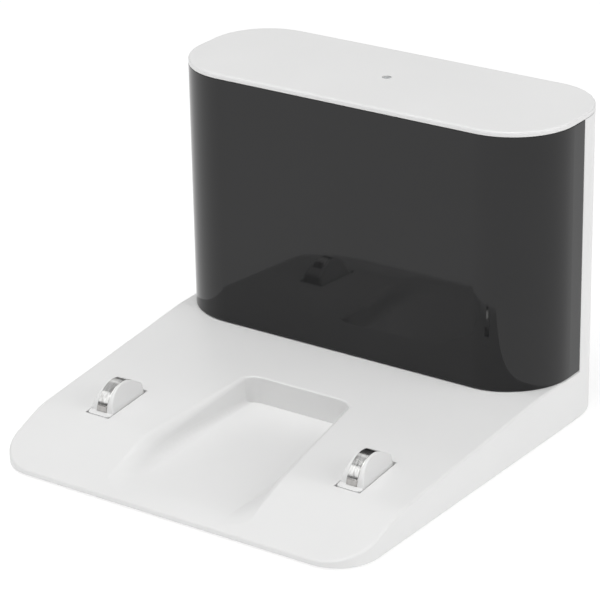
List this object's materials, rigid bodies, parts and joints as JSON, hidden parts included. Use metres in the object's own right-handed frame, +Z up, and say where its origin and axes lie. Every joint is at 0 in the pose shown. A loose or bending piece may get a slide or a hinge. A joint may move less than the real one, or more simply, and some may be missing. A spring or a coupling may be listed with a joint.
{
  "type": "robot vacuum charging dock",
  "caption": "Free-standing charging dock of a robot vacuum: ramp with castor recess and two sprung contacts, and a tower with a dark infra-red window.",
  "frame": {"origin": "middle of the footprint on the floor, under the feet", "axes": "+Z up, +Y towards the back of the tower, +X to the right of someone who faces the window's front from the room and looks along +Y; the vacuum drives up the ramp along +Y"},
  "size_m": [0.13, 0.137, 0.096],
  "materials": {
    "white_shell": "satin moulded white",
    "white_plate": "fine spark texture, white",
    "ir_window": "polished dark infra-red window",
    "foot_rubber": "soft dark grey",
    "contact_plating": "bright nickel plate",
    "spring_steel": "drawn wire",
    "screw_steel": "zinc plated",
    "ballast_iron": "blackened",
    "black_plastic": "moulded black",
    "terminal_brass": "tinned brass",
    "lead_black": "insulation",
    "lead_red": "insulation",
    "board_green": "solder mask",
    "ferrite": "ground ferrite",
    "coil_tape": "insulating tape",
    "coil_copper": "enamelled wire",
    "can_sleeve": "shrink sleeve",
    "fuse_case": "moulded case",
    "chip_epoxy": "moulded epoxy",
    "sink_aluminium": "mill finish",
    "emitter_lens": "tinted clear epoxy",
    "led_lens": "clear epoxy",
    "clear_guide": "clear acrylic"
  },
  "bodies": {
    "dock": {"ballast_bar": "ballast_iron", "beacon_board": "board_green", "beacon_bracket": "black_plastic", "beacon_lead": "lead_black", "beacon_screws": "screw_steel", "board_screws": "screw_steel", "body_shell": "white_shell", "bottom_plate": "white_plate", "bottom_screws": "screw_steel", "bridge_rectifier": "chip_epoxy", "bulk_capacitor": "can_sleeve", "contact_holder_left": "black_plastic", "contact_holder_right": "black_plastic", "contact_lead_left": "lead_black", "contact_lead_right": "lead_red", "contact_spring_left": "spring_steel", "contact_spring_right": "spring_steel", "contact_terminal_left": "terminal_brass", "contact_terminal_right": "terminal_brass", "cord_tub": "black_plastic", "fuse": "fuse_case", "heat_sink": "sink_aluminium", "holder_screws": "screw_steel", "inlet_pins": "terminal_brass", "ir_emitters": "emitter_lens", "light_guide": "clear_guide", "line_choke": "coil_copper", "mains_inlet": "black_plastic", "mains_leads": "lead_black", "output_capacitors": "can_sleeve", "power_board": "board_green", "power_switch": "chip_epoxy", "rubber_feet": "foot_rubber", "status_led": "led_lens", "top_cap": "white_shell", "transformer_core": "ferrite", "transformer_winding": "coil_tape", "tub_screws": "screw_steel", "window_cover": "ir_window"},
    "contact_left": {"contact_shoe_left": "white_shell", "contact_strip_left": "contact_plating"},
    "contact_right": {"contact_shoe_right": "white_shell", "contact_strip_right": "contact_plating"},
    "bay_cover": {"back_cover": "white_shell"}
  },
  "joints": [
    {"name": "contact_press_left", "type": "slide", "parent": "dock", "child": "contact_left", "axis": [0, 0, -1], "range_m": [0, 0.0038], "stiffness_N_per_m": 250, "springref_m": -0.003, "deforming": ["contact_spring_left"]},
    {"name": "contact_press_right", "type": "slide", "parent": "dock", "child": "contact_right", "axis": [0, 0, -1], "range_m": [0, 0.0038], "stiffness_N_per_m": 250, "springref_m": -0.003, "deforming": ["contact_spring_right"]},
    {"name": "cover_off", "type": "slide", "parent": "dock", "child": "bay_cover", "axis": [0, 1, 0], "range_m": [0, 0.06]}
  ]
}
